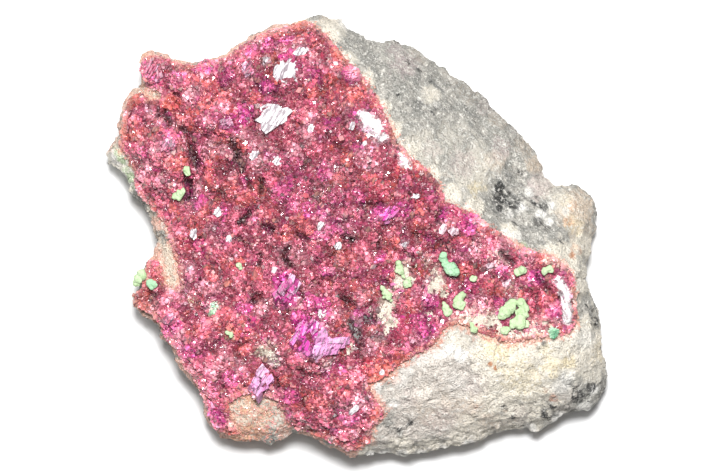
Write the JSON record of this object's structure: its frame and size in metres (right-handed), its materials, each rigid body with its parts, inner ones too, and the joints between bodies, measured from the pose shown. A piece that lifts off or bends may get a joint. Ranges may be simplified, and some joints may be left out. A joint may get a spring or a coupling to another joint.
{
  "type": "mineral specimen",
  "caption": "Mineral specimen for display: a broken slab of grey dolomite with a crust of pink cobaltoan calcite crystals and pale green kolwezite balls, lying on its back.",
  "frame": {"origin": "under the middle of the specimen's box, in the plane of the flat back on which it rests", "axes": "+Z away from the surface it rests on, the way the crystal face looks; +X to the right of that face, along its longest side; +Y to the top of that face"},
  "size_m": [0.09, 0.079, 0.0317],
  "materials": {
    "dolomite": "rough broken stone",
    "cobaltoan_calcite": "sparkling crystal crust",
    "kolwezite": "dull, smooth",
    "malachite": "silky"
  },
  "bodies": {
    "root": {"cobaltoan_calcite_crust": "cobaltoan_calcite", "kolwezite_cluster_grain": "kolwezite", "kolwezite_edge_ball": "kolwezite", "kolwezite_edge_disc": "kolwezite", "kolwezite_far_right_ball": "kolwezite", "kolwezite_hollow_ball": "kolwezite", "kolwezite_hollow_patch": "kolwezite", "kolwezite_inner_ball": "kolwezite", "kolwezite_inner_patch": "kolwezite", "kolwezite_inner_string": "kolwezite", "kolwezite_lone_grain": "kolwezite", "kolwezite_low_grain": "kolwezite", "kolwezite_lower_ball": "kolwezite", "kolwezite_lower_patch": "kolwezite", "kolwezite_main_cluster": "kolwezite", "kolwezite_middle_ball": "kolwezite", "kolwezite_right_ball": "kolwezite", "kolwezite_small_ball": "kolwezite", "kolwezite_upper_pair": "kolwezite", "malachite_tuft": "malachite", "matrix_stone": "dolomite"}
  },
  "joints": []
}
